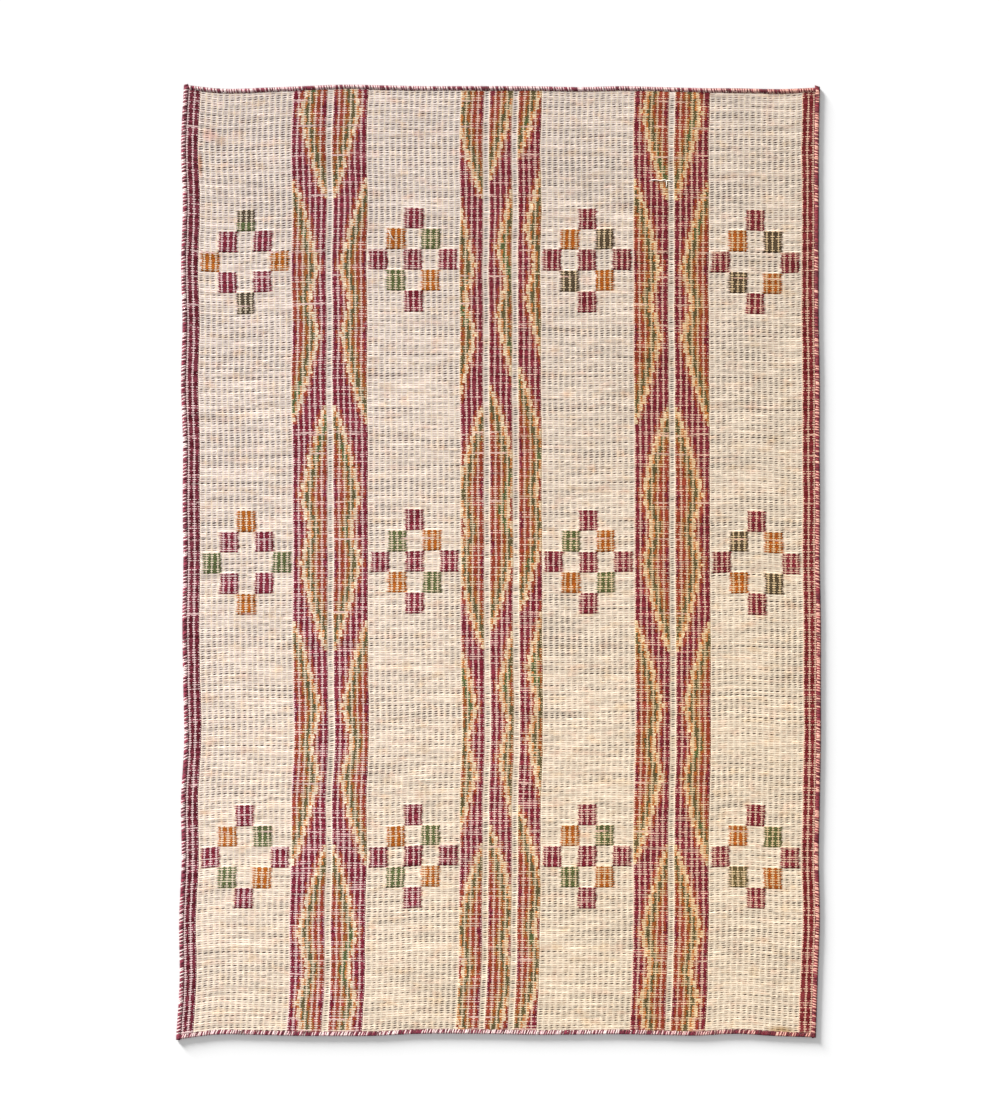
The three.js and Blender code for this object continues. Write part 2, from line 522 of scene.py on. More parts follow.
def is_whole(number):
    return abs(number - round(number)) < COUNT_TOLERANCE


def strip_in_counts(first, columns):
    """A closed sheet in counts: x is the column, y the row and z the level."""
    bm = bmesh.new()
    count_grid(bm, first, columns, FACE_STEPS, FACES_PER_ROW, level=1)
    rim = [edge for edge in bm.edges if edge.is_boundary]
    wall = bmesh.ops.extrude_edge_only(bm, edges=rim)["geom"]
    lowered = [part for part in wall if isinstance(part, bmesh.types.BMVert)]
    bmesh.ops.translate(bm, vec=(0, 0, -1), verts=lowered)
    spare = [vert for vert in lowered if not (is_whole(vert.co.x) and is_whole(vert.co.y))]
    bmesh.ops.dissolve_verts(bm, verts=spare)
    count_grid(bm, first, columns, (0,), 1, level=0)
    low = [vert for vert in bm.verts if vert.co.z < 0.5]
    bmesh.ops.remove_doubles(bm, verts=low, dist=COUNT_TOLERANCE)
    bmesh.ops.recalc_face_normals(bm, faces=bm.faces)
    return bm


# %% [markdown]
# Each strip carries what its shader needs. The UV map named weave holds the column and the row, so
# the yarn pattern follows the cloth, and two numbers on each face name the dyes of its cell's left
# and right half. A point attribute says where a gap opens. A second UV map spreads the strip over
# one square without overlaps, which is what a baked picture of it needs.

# %% Dress a strip with its counts, dyes and gaps
FACE_SHARE = 0.80
WALL_START = 0.802
WALL_WIDTH = 0.004
WALL_PITCH = WALL_WIDTH * 4 / 3
UNDERSIDE_START = 0.83
UNDERSIDE_SHARE = 0.17
MOSTLY = 0.5
GAPLESS_ROWS = 2


def add_uv(mesh, name, across, along):
    layer = mesh.uv_layers.new(name=name)
    layer.data.foreach_set("uv", np.column_stack([across, along]).ravel())


def add_numbers(mesh, name, domain, values):
    attribute = mesh.attributes.new(name, "FLOAT", domain)
    attribute.data.foreach_set("value", np.asarray(values, dtype=float))


def spread_out(mesh, counts, corner_points, first, columns):
    """Places on one square: the face, then the thin walls, then the underside."""
    sizes = read_all(mesh.polygons, "loop_total", kind=int)
    facing = np.repeat(read_all(mesh.polygons, "normal", 3), sizes, axis=0)
    across = (counts[corner_points, 0] - first) / columns
    along = counts[corner_points, 1] / ROWS
    level = counts[corner_points, 2]
    on_side = np.abs(facing[:, 0]) > MOSTLY
    wall_number = np.round(np.where(on_side, across, 2 + along))
    on_wall = WALL_START + WALL_PITCH * wall_number + WALL_WIDTH * level
    wall_along = np.where(on_side, along, across)
    u = np.where(facing[:, 2] > MOSTLY, across * FACE_SHARE, on_wall)
    u = np.where(facing[:, 2] < -MOSTLY, UNDERSIDE_START + across * UNDERSIDE_SHARE, u)
    v = np.where(np.abs(facing[:, 2]) > MOSTLY, along, wall_along)
    add_uv(mesh, "OFBake", u, 1 - v)


def dress_strip(mesh, first, columns):
    """Adds the maps and attributes of a strip that still lies in counts."""
    counts = read_all(mesh.vertices, "co", 3)
    corner_points = read_all(mesh.loops, "vertex_index", kind=int)
    add_uv(mesh, "weave", counts[corner_points, 0], counts[corner_points, 1])
    spread_out(mesh, counts, corner_points, first, columns)
    centres = read_all(mesh.polygons, "center", 3)
    cell = np.clip(centres[:, 0].astype(int), first, first + columns - 1)
    row = np.clip(centres[:, 1].astype(int), 0, ROWS - 1)
    add_numbers(mesh, "dye_left", "FACE", chart[row, 2 * cell])
    add_numbers(mesh, "dye_right", "FACE", chart[row, 2 * cell + 1])
    in_middle = np.abs(counts[:, 0] % 1 - 0.5) < COUNT_TOLERANCE
    at_row_end = counts[:, 1] % 1 < COUNT_TOLERANCE
    gap = np.where(in_middle & at_row_end, gap_at(counts[:, 0], counts[:, 1]), 0)
    gap[(counts[:, 1] < GAPLESS_ROWS) | (counts[:, 1] > ROWS - GAPLESS_ROWS)] = 0
    add_numbers(mesh, "gap", "POINT", gap)
    return counts, gap


# %% Weave the nine strips
def put_in_scene(name, data):
    """Makes a mesh, curve, lamp or camera into an object of the scene."""
    thing = bpy.data.objects.new(name, data)
    bpy.context.scene.collection.objects.link(thing)
    return thing


def weave_strip(name):
    """One closed strip of cloth, in its place on the floor."""
    first, columns = int(first_columns[name]), STRIPS[name]
    mesh = bpy.data.meshes.new(name)
    bm = strip_in_counts(first, columns)
    bm.to_mesh(mesh)
    bm.free()
    counts, gap = dress_strip(mesh, first, columns)
    places = lay_cloth(*counts.T, gap)
    mesh.vertices.foreach_set("co", places.ravel())
    mesh.shade_smooth()
    mesh.update()
    return put_in_scene(name, mesh)


strips = {name: weave_strip(name) for name in STRIPS}
face_count = sum(len(strip.data.polygons) for strip in strips.values())
print("faces in the cloth:", face_count)

# %% [markdown]
# ## A bench for shaders
# The materials are built from nodes. This small bench adds a node, sets or wires its inputs, and
# hands back a socket, so that a recipe below reads from top to bottom like a list of steps.

# %% The shader bench
def dyed(red, green, blue):
    """An everyday colour from 0 to 255, as the linear colour that a shader works with."""
    share = np.array([red, green, blue]) / 255
    linear = np.where(share <= 0.04045, share / 12.92, ((share + 0.055) / 1.055) ** 2.4)
    return (*linear.tolist(), 1.0)


class Bench:
    """One material, and short words for the nodes that its recipe uses."""

    def __init__(self, name, roughness):
        self.material = bpy.data.materials.new(name)
        self.material.use_nodes = True
        self.tree = self.material.node_tree
        self.surface = self.tree.nodes["Principled BSDF"]
        self.surface.inputs["Roughness"].default_value = roughness

    def put(self, socket, value):
        if isinstance(value, bpy.types.NodeSocket):
            self.tree.links.new(value, socket)
        else:
            socket.default_value = value

    def node(self, kind, inputs=None, **settings):
        node = self.tree.nodes.new("ShaderNode" + kind)
        for name, value in settings.items():
            setattr(node, name, value)
        for name, value in (inputs or {}).items():
            self.put(node.inputs[name], value)
        return node

    def math(self, operation, *values):
        return self.node("Math", dict(enumerate(values)), operation=operation).outputs[0]

    def plus(self, *values):
        total = values[0]
        for value in values[1:]:
            total = self.math("ADD", total, value)
        return total

    def minus(self, first, second):
        return self.math("SUBTRACT", first, second)

    def times(self, first, second):
        return self.math("MULTIPLY", first, second)

    def over(self, value, limit):
        """1 where a value is over a limit, and 0 elsewhere."""
        return self.math("GREATER_THAN", value, limit)

    def step(self, value, low, high, start=0.0, end=1.0):
        """Start below low, end above high, and a smooth climb between them."""
        inputs = {"Value": value, "From Min": low, "From Max": high, "To Min": start, "To Max": end}
        return self.node("MapRange", inputs, interpolation_type="SMOOTHSTEP").outputs[0]

    def blend(self, share, first, second):
        return self.node("Mix", {0: share, 6: first, 7: second}, data_type="RGBA").outputs[2]

    def stain(self, share, colour, dye):
        """Multiplies a colour by a dye, so that what lies under it still shows."""
        settings = {"data_type": "RGBA", "blend_type": "MULTIPLY"}
        return self.node("Mix", {0: share, 6: colour, 7: dye}, **settings).outputs[2]

    def tint(self, colour, strength):
        """Makes a colour lighter or darker by a factor."""
        grey = self.node("CombineXYZ", {0: strength, 1: strength, 2: strength}).outputs[0]
        return self.stain(1.0, colour, grey)

    def vector(self, x, y, z=0.0):
        return self.node("CombineXYZ", {0: x, 1: y, 2: z}).outputs[0]

    def chance(self, x, y):
        """A number from 0 to 1 that is the same all over one cell."""
        place = {"Vector": self.vector(x, y)}
        return self.node("TexWhiteNoise", place, noise_dimensions="2D").outputs["Value"]

    def noise(self, vector, scale=1.0, detail=2.0):
        inputs = {"Vector": vector, "Scale": scale, "Detail": detail}
        return self.node("TexNoise", inputs).outputs[0]

    def number(self, name):
        return self.node("Attribute", attribute_name=name).outputs["Fac"]

    def finish(self, colour, relief, strength, depth):
        """Gives the surface its colour, and a fine relief that is so many metres deep."""
        self.put(self.surface.inputs["Base Color"], colour)
        inputs = {"Strength": strength, "Distance": depth, "Height": relief}
        self.put(self.surface.inputs["Normal"], self.node("Bump", inputs).outputs[0])


# %% [markdown]
# ## Dyed jute
# The dye numbers pick a colour from a stepped ramp, whose alpha holds the tick of that dye. Where
# a dyed stretch ends inside a column it ends at a slightly different place in each row, so the
# blocks and lozenges get ragged ends, as wefts do that turn back by hand.

# %% Where a point lies in its cell
jute = Bench("dyed_jute", roughness=0.92)
weave_map = jute.node("SeparateXYZ", {0: jute.node("UVMap", uv_map="weave").outputs["UV"]})
column, row = weave_map.outputs["X"], weave_map.outputs["Y"]
column_number, row_number = jute.math("FLOOR", column), jute.math("FLOOR", row)
in_column, in_row = jute.math("FRACT", column), jute.math("FRACT", row)
to_tie = jute.minus(0.5, jute.math("ABSOLUTE", jute.minus(in_column, 0.5)))
valley = jute.times(jute.math("ABSOLUTE", jute.minus(in_row, 0.5)), 2.0)


def cloth_noise(hills, along=row_number, depth=0.0, detail=2.0):
    """Soft noise with so many hills to a column and to a row."""
    spot = jute.vector(jute.times(column, hills[0]), jute.times(along, hills[1]), depth)
    return jute.noise(spot, detail=detail)


# %% Pick the dye
RAGGED_END = 0.16
TOOTH_LEAST = 0.18
TOOTH_MOST = 1.02

turn_luck = jute.chance(column_number, row_number)
turn_back = jute.math("MULTIPLY_ADD", turn_luck, RAGGED_END, 0.5 - RAGGED_END / 2)
left_dye, right_dye = jute.number("dye_left"), jute.number("dye_right")
from_dyed = jute.minus(jute.over(left_dye, 0.5), jute.over(right_dye, 0.5))
tooth_luck = jute.chance(jute.plus(column_number, 0.7), row_number)
tooth_length = jute.times(from_dyed, jute.step(tooth_luck, 0.0, 1.0, TOOTH_LEAST, TOOTH_MOST))
tooth = jute.times(jute.minus(0.5, valley), tooth_length)
past_turn = jute.over(in_column, jute.plus(turn_back, tooth))
dye = jute.plus(left_dye, jute.times(past_turn, jute.minus(right_dye, left_dye)))
palette = jute.node("ValToRGB", {0: jute.math("MULTIPLY_ADD", dye, 1 / len(DYES), 0.5 / len(DYES))})
ramp = palette.color_ramp
ramp.interpolation = "CONSTANT"
while len(ramp.elements) < len(DYES):
    ramp.elements.new(1)
for number, (colour, tick) in enumerate(DYES.values()):
    ramp.elements[number].position = number / len(DYES)
    ramp.elements[number].color = (*dyed(*colour)[:3], tick)
yarn_colour, tick_reach = palette.outputs["Color"], palette.outputs["Alpha"]
is_dyed = jute.over(dye, 0.5)

# %% [markdown]
# Undyed jute isn't one colour: here it is greyer towards the head and the left, and yellower
# towards the foot and the right, and each row has its own tone, because each is spun from another
# handful of fibre. Long soft streaks run along the rows. The red dyes are worn paler here and
# there. Object coordinates carry what changes across the whole rug and the fine fibres, and the
# weave map what follows its rows.

# %% Tones of the yarn
GREY_CREAM = dyed(244, 230, 222)
WARM_CREAM = dyed(250, 232, 206)
WARMER_TO_RIGHT = 1.4
GREY_TO_WARM = (-1.5, 1.4)
STREAK_HILLS = (0.11, 3.7)
FIBRES = (110.0, 1500.0, 1500.0)  # to a metre
RED_TO_ORANGE = (0.08, 0.30)
WORN_DYE = 0.3
WORN_COLOUR = dyed(184, 96, 116)
DARKEST_TONE = 0.33
STREAK_TONES = 0.84
CELL_TONES = 0.16
FIBRE_TONES = 0.30

place = jute.node("TexCoord").outputs["Object"]
place_parts = jute.node("SeparateXYZ", {0: place})
place_x, place_y = place_parts.outputs["X"], place_parts.outputs["Y"]
diagonal = jute.minus(jute.times(place_x, WARMER_TO_RIGHT), place_y)
warmth = jute.step(diagonal, *GREY_TO_WARM)
cream_tone = jute.blend(warmth, GREY_CREAM, WARM_CREAM)
yarn_colour = jute.blend(is_dyed, cream_tone, yarn_colour)

row_streak = cloth_noise(STREAK_HILLS)
cell_tone = jute.chance(jute.plus(column_number, 0.3), jute.plus(row_number, 17.0))
fibre_grid = jute.node("Mapping", {"Vector": place, "Scale": FIBRES}).outputs[0]
fibre = jute.noise(fibre_grid, detail=3.0)
yarn_parts = jute.node("SeparateColor", {0: yarn_colour})
green_to_red = jute.math("DIVIDE", yarn_parts.outputs["Green"], yarn_parts.outputs["Red"])
is_red = jute.step(green_to_red, *RED_TO_ORANGE, 1.0, 0.0)
tone = jute.plus(
    DARKEST_TONE,
    jute.times(row_streak, STREAK_TONES),
    jute.times(cell_tone, CELL_TONES),
    jute.times(fibre, FIBRE_TONES),
)
worn = jute.times(is_red, jute.step(cell_tone, 0.1, 1.0, 0.0, WORN_DYE))
yarn_colour = jute.blend(worn, yarn_colour, WORN_COLOUR)
yarn_colour = jute.tint(yarn_colour, tone)

# %% [markdown]
# In the straw line round a lozenge each row is backed by a thin ochre weft, which shows as a dash.

# %% Ochre dashes in the straw line
DASH_COLOUR = dyed(206, 138, 76)

is_straw = jute.math("COMPARE", dye, DYE_NUMBER["straw"], 0.5)
dash_luck = jute.chance(jute.math("FLOOR", jute.times(column, 2.0)), jute.plus(row_number, 0.9))
dash = jute.times(jute.step(in_row, 0.48, 0.60), jute.step(dash_luck, 0.1, 0.7, 0.1, 0.75))
yarn_colour = jute.blend(jute.times(is_straw, dash), yarn_colour, DASH_COLOUR)

# %% [markdown]
# Here and there a paler weft crosses the dyed parts, for a stretch of its row.

# %% Pale wefts across the dyed parts
PALE_ROW_FROM = 0.955
PALE_HILLS = (0.16, 1.0)
PALE_WEFT = dyed(236, 198, 196)

pale_row = jute.over(jute.chance(row_number, 5.0), PALE_ROW_FROM)
pale_stretch = jute.step(cloth_noise(PALE_HILLS, detail=1.0), 0.47, 0.60)
on_crest = jute.step(valley, 0.45, 0.8, 1.0, 0.0)
pale_weft = jute.times(jute.times(pale_row, pale_stretch), jute.times(is_dyed, on_crest))
yarn_colour = jute.blend(pale_weft, yarn_colour, PALE_WEFT)

# %% [markdown]
# ## Ties, valleys and gaps
# The pale ties show as thin lines between the columns. On the side of each row that faces the head
# they spread into a short tick, so the dyed parts look like rows of small ladders. Some rows have
# longer ticks than others for a stretch, and the foot has longer ones than the head. Beside its
# tie the dyed yarn is pinched, and painted shade darkens it there. The valleys between rows get
# painted shade too, clear of the ties. Where a gap opens, painted shade stands for the dark under
# the cloth. The sun has turned the dyes and their ties a little warmer at the right.

# %% Ties over the yarn
TIE_HALF_WIDTH = 0.055
TIE_EDGE = 0.03
TIE_CREAM = dyed(250, 230, 202)
TIE_PINK = dyed(252, 219, 216)
TICK_LEAST, TICK_MOST = 0.65, 1.25
ROW_TICK_LEAST, ROW_TICK_MOST = 0.4, 1.65
ROW_TICK_HILLS = (0.09, 2.3)
ROW_TICK_LUCK = (0.30, 0.70)
TIE_TONES = (0.8, 1.15, 0.86, 1.06)
TICKS_AT_FOOT = 1.2
TICK_FROM, TICK_TO = 0.30, 0.44
DYE_BETWEEN_TICKS = 0.25
PINCH_WIDTH = 0.14
PINCH_SHADE_DEPTH = 0.55

nearest_tie = jute.math("ROUND", column)
tick_luck = jute.chance(nearest_tie, jute.plus(row_number, 0.4))
tick = jute.times(tick_reach, jute.step(tick_luck, 0.0, 1.0, TICK_LEAST, TICK_MOST))
tick = jute.times(tick, jute.step(place_y, -0.9, 0.9, TICKS_AT_FOOT, 1.0))
row_luck = cloth_noise(ROW_TICK_HILLS, depth=7.0, detail=1.0)
tick = jute.times(tick, jute.step(row_luck, *ROW_TICK_LUCK, ROW_TICK_LEAST, ROW_TICK_MOST))
in_tick = jute.step(in_row, TICK_FROM, TICK_TO, 1.0, 0.0)
tie_width = jute.plus(TIE_HALF_WIDTH, jute.times(in_tick, tick))
past_tie = jute.minus(to_tie, tie_width)
tie = jute.step(past_tie, -TIE_EDGE, TIE_EDGE, 1.0, 0.0)
tie_colour = jute.blend(is_red, TIE_CREAM, TIE_PINK)
between_ticks = jute.times(is_dyed, jute.minus(1.0, in_tick))
tie_colour = jute.blend(jute.times(between_ticks, DYE_BETWEEN_TICKS), tie_colour, yarn_colour)
tie_colour = jute.tint(tie_colour, jute.step(tone, *TIE_TONES))
# painted shade beside each tie, where the dyed yarn dips under it
pinch_shade = jute.times(is_dyed, jute.step(past_tie, 0.0, PINCH_WIDTH, PINCH_SHADE_DEPTH, 0.0))
yarn_colour = jute.tint(yarn_colour, jute.minus(1.0, pinch_shade))

# %% Valleys and gaps
GAP_PAINTED_SHADE = dyed(76, 42, 24)
VALLEY_PAINTED_SHADE = dyed(226, 199, 182)
SUNNED = dyed(255, 240, 210)
FAR_LEFT, FAR_RIGHT = -0.7, 0.7
VALLEY_SHADE = (0.45, 1.0)
CLEAR_OF_TIE = (0.05, 0.3)
GAP_SHOWS = (0.14, 0.60)
GAP_EDGE = (0.30, 0.62)

# painted shade in the valleys between rows, clear of the ties
in_valley = jute.times(jute.step(valley, *VALLEY_SHADE), jute.step(to_tie, *CLEAR_OF_TIE))
yarn_colour = jute.stain(in_valley, yarn_colour, VALLEY_PAINTED_SHADE)
cloth_colour = jute.blend(tie, yarn_colour, tie_colour)
sunned = jute.times(is_dyed, jute.step(place_x, FAR_LEFT, FAR_RIGHT))
cloth_colour = jute.stain(sunned, cloth_colour, SUNNED)
gap_open = jute.step(jute.number("gap"), *GAP_SHOWS)
gap_open = jute.times(gap_open, jute.step(valley, *GAP_EDGE))
# painted shade in the open gaps
cloth_colour = jute.blend(gap_open, cloth_colour, GAP_PAINTED_SHADE)

# %% [markdown]
# Marks on the cloth are placed by column and row, like everything else, and fade out unevenly.
# The cream has also taken up a little dye, which shows as a faint pink and a faint ochre blush.

# %% Bled dye and marks
MARKS = [
    # column, row, half width in columns, half length in rows, colour, strength
    (4.9, 20.8, 1.6, 3.4, (236, 140, 116), 0.34),
    (6.9, 23.2, 1.0, 2.6, (200, 160, 104), 0.4),
    (3.3, 33.5, 0.45, 6.0, (226, 150, 70), 0.6),
    (104.0, 409.8, 2.6, 2.6, (188, 150, 62), 0.7),
    (82.2, 41.0, 1.8, 1.6, (236, 206, 200), 0.4),
]
BLOTCHY = -0.6
MARK_FADES = (-0.4, 1.0)
BLUSH_HILLS = (0.35, 0.22)
BLUSH_FADES = (0.50, 0.80)
BLUSH_STRENGTH = 0.34
BLUSHES = {0.0: (250, 210, 198), 31.0: (252, 222, 176)}  # depth in the noise, colour

blot = jute.noise(place, scale=160.0, detail=3.0)
for mark_column, mark_row, half_width, half_length, colour, strength in MARKS:
    across = jute.math("DIVIDE", jute.minus(column, mark_column), half_width)
    along = jute.math("DIVIDE", jute.minus(row, mark_row), half_length)
    across, along = jute.times(across, across), jute.times(along, along)
    spread = jute.plus(across, along, jute.times(blot, BLOTCHY))
    there = jute.step(spread, *MARK_FADES, strength, 0.0)
    cloth_colour = jute.stain(there, cloth_colour, dyed(*colour))

undyed = jute.minus(1.0, is_dyed)
for depth, colour in BLUSHES.items():
    blush = cloth_noise(BLUSH_HILLS, along=row, depth=depth)
    blush = jute.times(undyed, jute.step(blush, *BLUSH_FADES, 0.0, BLUSH_STRENGTH))
    cloth_colour = jute.stain(blush, cloth_colour, dyed(*colour))

# %% Finish the jute
LIGHT_AT_FOOT, LIGHT_AT_HEAD = 1.03, 0.92
LIGHT_AT_LEFT, LIGHT_AT_RIGHT = 1.015, 0.93

lightness = jute.times(
    jute.step(place_y, -0.7, 1.1, LIGHT_AT_FOOT, LIGHT_AT_HEAD),
    jute.step(place_x, FAR_LEFT, FAR_RIGHT, LIGHT_AT_LEFT, LIGHT_AT_RIGHT),
)
jute.finish(jute.tint(cloth_colour, lightness), fibre, strength=0.6, depth=0.0006)
jute.surface.inputs["Specular IOR Level"].default_value = 0.15
jute.surface.inputs["Sheen Weight"].default_value = 0.05
jute.surface.inputs["Sheen Roughness"].default_value = 0.6
for strip in strips.values():
    strip.data.materials.append(jute.material)
print("nodes in the jute:", len(jute.tree.nodes))

# %% [markdown]
# ## Whipped edging
# Two yarns, one maroon and one pinkish white, are whipped together round the edge, so turns of both
# colours lie side by side on a slant. One turn is modelled once: a flat ring is extruded step by
# step, out over the face of the rug, round its edge and back below it. A turn is repeated some two
# thousand times, so it has only a few faces.

# %% Model one turn of yarn
YARN_WIDTH = 0.0034
YARN_THICKNESS = 0.0015
RING_SIDES = 4
TURN_PATH = [
    # distance in from the rug's edge, height above the floor
    (0.0104, 0.0034),
    (0.0088, 0.0049),
    (0.0034, 0.0052),
    (0.0012, 0.0044),
    (0.00075, 0.0030),
    (0.0012, 0.0016),
    (0.0034, 0.0008),
    (0.0090, 0.0008),
]


def heading(start, end):
    """The angle by which a step of the path turns from straight up."""
    return math.atan2(-(end[0] - start[0]), end[1] - start[1])


def one_turn():
    """A closed flat tube along the path: x runs along the edge, y inwards from it, z up."""
    bm = bmesh.new()
    ring = bmesh.ops.create_circle(bm, segments=RING_SIDES, radius=0.5)["verts"]
    to_square = Matrix.Rotation(math.pi / RING_SIDES, 3, "Z")
    bmesh.ops.rotate(bm, cent=(0, 0, 0), matrix=to_square, verts=ring)
    square = math.sqrt(2)
    bmesh.ops.scale(bm, vec=(square * YARN_WIDTH, square * YARN_THICKNESS, 1), verts=ring)
    steps = list(zip(TURN_PATH, TURN_PATH[1:]))
    headings = [heading(*step) for step in steps]
    middles = [(a + b) / 2 for a, b in zip(headings, headings[1:])]
    aims = [headings[0], *middles, headings[-1]]
    start = (0, TURN_PATH[0][0], TURN_PATH[0][1])
    bmesh.ops.rotate(bm, cent=(0, 0, 0), matrix=Matrix.Rotation(aims[0], 3, "X"), verts=ring)
    bmesh.ops.translate(bm, vec=start, verts=ring)
    edges = list(bm.edges)
    for (came_from, goes_to), aim, next_aim in zip(steps, aims, aims[1:]):
        grown = bmesh.ops.extrude_edge_only(bm, edges=edges)["geom"]
        ring = [part for part in grown if isinstance(part, bmesh.types.BMVert)]
        edges = [part for part in grown if isinstance(part, bmesh.types.BMEdge)]
        move = (0, goes_to[0] - came_from[0], goes_to[1] - came_from[1])
        bmesh.ops.translate(bm, vec=move, verts=ring)
        centre = (0, goes_to[0], goes_to[1])
        bmesh.ops.rotate(bm, cent=centre, matrix=Matrix.Rotation(next_aim - aim, 3, "X"), verts=ring)
    bmesh.ops.holes_fill(bm, edges=[edge for edge in bm.edges if edge.is_boundary], sides=RING_SIDES)
    bmesh.ops.recalc_face_normals(bm, faces=bm.faces)
    mesh = bpy.data.meshes.new("turn_of_yarn")
    bm.to_mesh(mesh)
    bm.free()
    return mesh


turn_mesh = one_turn()
print("faces in one turn:", len(turn_mesh.polygons))

# %% [markdown]
# An array modifier repeats the turn along a straight edge. Each copy then gets its own slant, reach
# and place, and the row of turns is laid along its side of the rug, over the cloth's own outline.
# Two numbers on each face say whether its turn is pale, and in which tone it is dyed. One on each
# point is painted shade: it darkens the yarn on its outer side, where it curves round the edge, and
# where its inner end dives into the cloth.

# %% Whip the four sides
SLANT = 0.0034
CORNER_INSET = 0.004
CORNER_TURNS = 3
OUTER_SHADE_FULL_TO = 0.0006
OUTER_SHADE_END = 0.0036
SHADED_FROM = 0.0070
SHADED_TO = 0.0096
INNER_SHADE = 0.38
RUN_LENGTHS = (4, 8)
RUNS_IN_TURNS = 3
MISSED_TURNS = 0.14
SLANTS = (0.5, 1.4)
REACHES = (0.86, 1.06)
SHIFTS = (-0.15, 0.15)
LIFTS = (-0.0001, 0.0003)
BREADTH_OF_TWO = 2.2


def as_mesh(maker):
    """The mesh that an object's modifier or bevel makes. The object itself is removed."""
    graph = bpy.context.evaluated_depsgraph_get()
    mesh = bpy.data.meshes.new_from_object(maker.evaluated_get(graph))
    bpy.data.objects.remove(maker)
    return mesh


def repeated(mesh, count, pitch):
    """The mesh of an array of copies, one pitch apart."""
    maker = put_in_scene("repeated", mesh)
    array = maker.modifiers.new("turns", "ARRAY")
    array.count = count
    array.use_relative_offset = False
    array.use_constant_offset = True
    array.constant_offset_displace = (pitch, 0, 0)
    return as_mesh(maker)


def colour_runs(draw, count, plain_share):
    """0 for a maroon turn and 1 for a pale one: mostly in turns, with stretches of plain maroon."""
    pale = np.zeros(count)
    turn = 0
    while turn < count:
        run = int(draw.integers(*RUN_LENGTHS))
        if draw.random() > plain_share:
            run = run * RUNS_IN_TURNS
            alternating = np.arange(run) % 2
            missed = draw.random(run) < MISSED_TURNS
            pale[turn : turn + run] = np.where(missed, 1 - alternating, alternating)[: count - turn]
        turn += run
    pale[:CORNER_TURNS] = pale[-CORNER_TURNS:] = 0
    return pale


def whip_side(name, seed, length, lay_out, pitch, pale_breadth, plain_share, outer_shade, inset):
    """A row of turns along one side. Lay_out turns a share along and a distance in into x and y."""
    draw = np.random.default_rng(seed)
    count = round((length - 2 * inset) / pitch)
    mesh = repeated(turn_mesh, count, pitch)
    mesh.name = name
    points = read_all(mesh.vertices, "co", 3)
    pale = colour_runs(draw, count, plain_share)
    turn = np.arange(len(points)) // len(turn_mesh.vertices)
    slant = SLANT * draw.uniform(*SLANTS, count)[turn]
    reach = draw.uniform(*REACHES, count)[turn]
    shift = draw.uniform(*SHIFTS, count)[turn] * pitch
    lift = draw.uniform(*LIFTS, count)[turn]
    middle = turn * pitch
    breadth = np.where(pale[turn] == 1, pale_breadth, BREADTH_OF_TWO - pale_breadth)
    breadth = breadth * pitch / YARN_WIDTH
    inwards = points[:, 1] * reach
    above = points[:, 2] > EDGING_HEIGHT / 2
    lean = slant * inwards / TURN_PATH[0][0] * np.where(above, 1, -1)
    share = (middle + (points[:, 0] - middle) * breadth + lean + shift + pitch / 2 + inset) / length
    x, y = lay_out(share, inwards)
    height = np.clip(points[:, 2] + lift * above, 0, EDGING_HEIGHT)
    mesh.vertices.foreach_set("co", np.column_stack([x, y, height]).ravel())
    face_turn = np.arange(len(mesh.polygons)) // len(turn_mesh.polygons)
    add_numbers(mesh, "pale", "FACE", pale[face_turn])
    add_numbers(mesh, "turn_tone", "FACE", draw.random(count)[face_turn])
    # painted shade: darker on the outer side of the turn and at its inner end
    painted_shade = outer_shade * (1 - soft_step(OUTER_SHADE_FULL_TO, OUTER_SHADE_END, points[:, 1]))
    painted_shade = painted_shade + INNER_SHADE * soft_step(SHADED_FROM, SHADED_TO, points[:, 1])
    add_numbers(mesh, "painted_shade", "POINT", painted_shade)
    mesh.shade_smooth()
    mesh.update()
    return put_in_scene(name, mesh)


def along_left(share, inwards):
    return on_rug(inwards / RUG_WIDTH, share)


def along_right(share, inwards):
    return on_rug(1 - inwards / RUG_WIDTH, share)


def along_foot(share, inwards):
    return on_rug(share, inwards / RUG_LENGTH)


def along_head(share, inwards):
    return on_rug(share, 1 - inwards / RUG_LENGTH)


SIDES = {
    # edging: name, seed, length, way to lay out,
    # pitch, breadth of a pale turn in pitches, share of plain maroon runs, painted shade outside, inset
    "edging_left": ("whipping_left", 51, RUG_LENGTH, along_left, 0.0036, 0.90, 0.20, 0.52, 0.0),
    "edging_right": ("whipping_right", 52, RUG_LENGTH, along_right, 0.0029, 1.10, 0.50, 0.60, 0.0),
    "edging_foot": ("whipping_foot", 53, RUG_WIDTH, along_foot, 0.0027, 1.25, 0.12, 0.25, CORNER_INSET),
    "edging_head": ("whipping_head", 54, RUG_WIDTH, along_head, 0.0027, 1.25, 0.18, 0.82, CORNER_INSET),
}
whippings = {node: whip_side(*details) for node, details in SIDES.items()}
print("faces in the whipping:", sum(len(edging.data.polygons) for edging in whippings.values()))

# %% [markdown]
# ## Twisted yarn
# The whipping yarn is smoother and tighter than the jute. Fine slanting lines stand for its twist.
# Painted shade darkens the outer side of each turn, most at the head and least at the foot, and
# its inner end. The right side is warmer.

